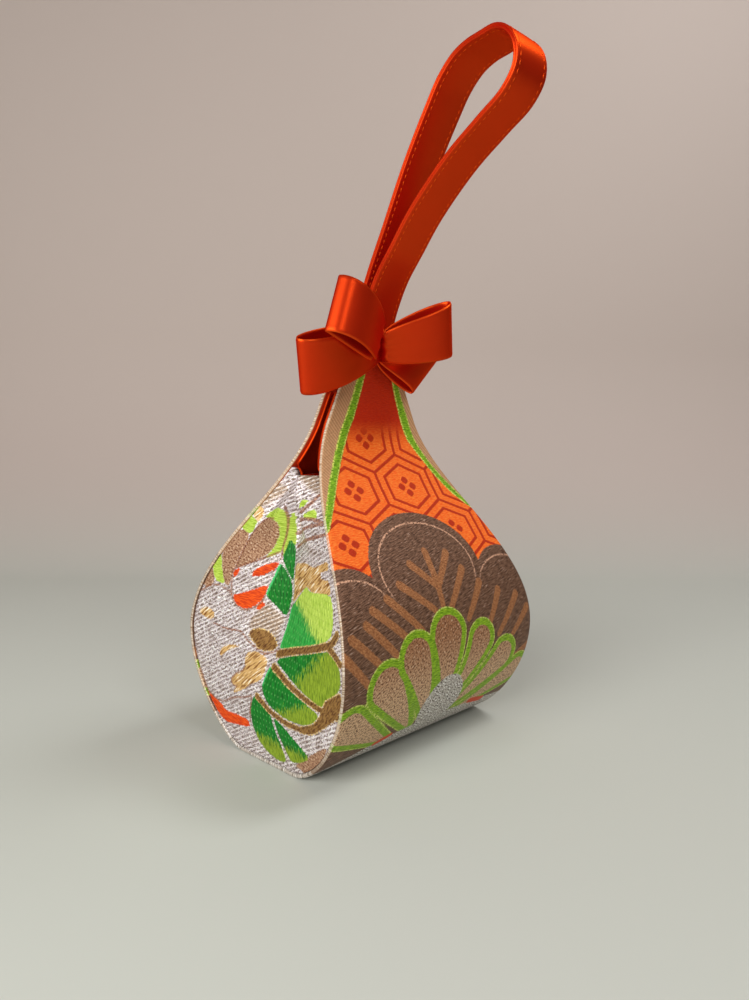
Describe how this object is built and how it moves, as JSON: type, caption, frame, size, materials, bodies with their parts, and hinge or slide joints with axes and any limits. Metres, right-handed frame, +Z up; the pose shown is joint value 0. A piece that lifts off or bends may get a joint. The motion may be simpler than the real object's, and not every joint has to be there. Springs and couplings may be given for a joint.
{
  "type": "teardrop clutch",
  "caption": "Stiff teardrop evening clutch of patterned brocade with pleated side gussets, satin lining, a leaning wrist strap and a folded ribbon bow at the neck.",
  "frame": {"origin": "middle of the flat base, on its underside", "axes": "+Z up along the bag's height, +X along the width of the front panel, front panel and bow face -Y"},
  "size_m": [0.138, 0.1513, 0.3222],
  "materials": {
    "brocade_front": "satin",
    "brocade_side": "satin",
    "lining_satin": "satin",
    "ribbon_satin": "satin",
    "snap_metal": "satin"
  },
  "bodies": {
    "root": {"outer_wrap": "brocade_front", "wrap_lining": "lining_satin", "gusset_left": "brocade_side", "gusset_right": "brocade_side", "gusset_lining_left": "lining_satin", "gusset_lining_right": "lining_satin", "wrist_strap": "ribbon_satin", "bow_main_ribbon": "ribbon_satin", "bow_upper_loop": "ribbon_satin", "bow_lower_loop": "ribbon_satin", "snap_socket": "snap_metal", "snap_stud": "snap_metal"}
  },
  "joints": []
}
